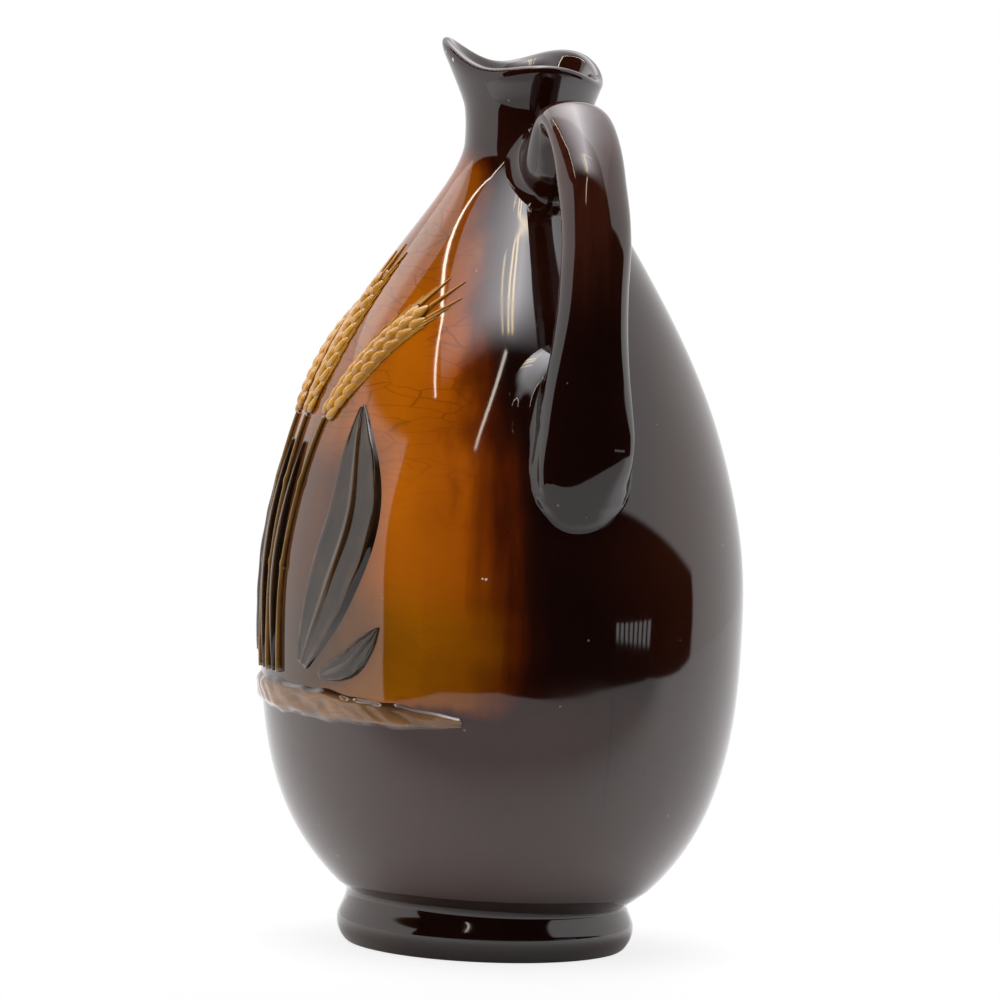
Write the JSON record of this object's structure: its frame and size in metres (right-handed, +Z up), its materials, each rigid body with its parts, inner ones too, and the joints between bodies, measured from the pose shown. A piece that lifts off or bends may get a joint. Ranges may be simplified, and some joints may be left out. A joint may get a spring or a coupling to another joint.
{
  "type": "flask",
  "caption": "Tall glazed stoneware flask: egg-shaped belly on a ring foot, narrow neck with a lobed pouring mouth, strap handle at the side and a barley relief on the front.",
  "frame": {"origin": "under the middle of the belly, on the surface that the foot stands on", "axes": "+Z up along the neck, +X to the handle, -Y to the decorated front"},
  "size_m": [0.12, 0.1207, 0.2223],
  "materials": {
    "brown_glaze": "gloss treacle-brown glaze",
    "amber_glaze": "gloss amber glaze, darkening to brown at the neck and foot",
    "ochre_slip": "ochre slip under gloss glaze",
    "leaf_slip": "dark green-brown slip under gloss glaze",
    "ground_slip": "fawn slip under gloss glaze",
    "bare_clay": "thinly glazed, dull"
  },
  "bodies": {
    "root": {"foot_ring": "brown_glaze", "base_bat": "bare_clay", "belly_front_half": "amber_glaze", "belly_back_half": "brown_glaze", "neck_and_mouth": "brown_glaze", "handle_strap": "brown_glaze", "upper_root_coil": "brown_glaze", "lower_root_coil": "brown_glaze", "ground_sprig": "ground_slip", "stalk_left": "leaf_slip", "ear_left": "ochre_slip", "broad_leaf_left": "leaf_slip", "low_leaf_left": "leaf_slip", "blade_left": "leaf_slip", "stalk_middle": "leaf_slip", "ear_middle": "ochre_slip", "stalk_right": "leaf_slip", "ear_right": "ochre_slip", "broad_leaf_right": "leaf_slip", "low_leaf_right": "leaf_slip", "blade_right": "leaf_slip"}
  },
  "joints": []
}
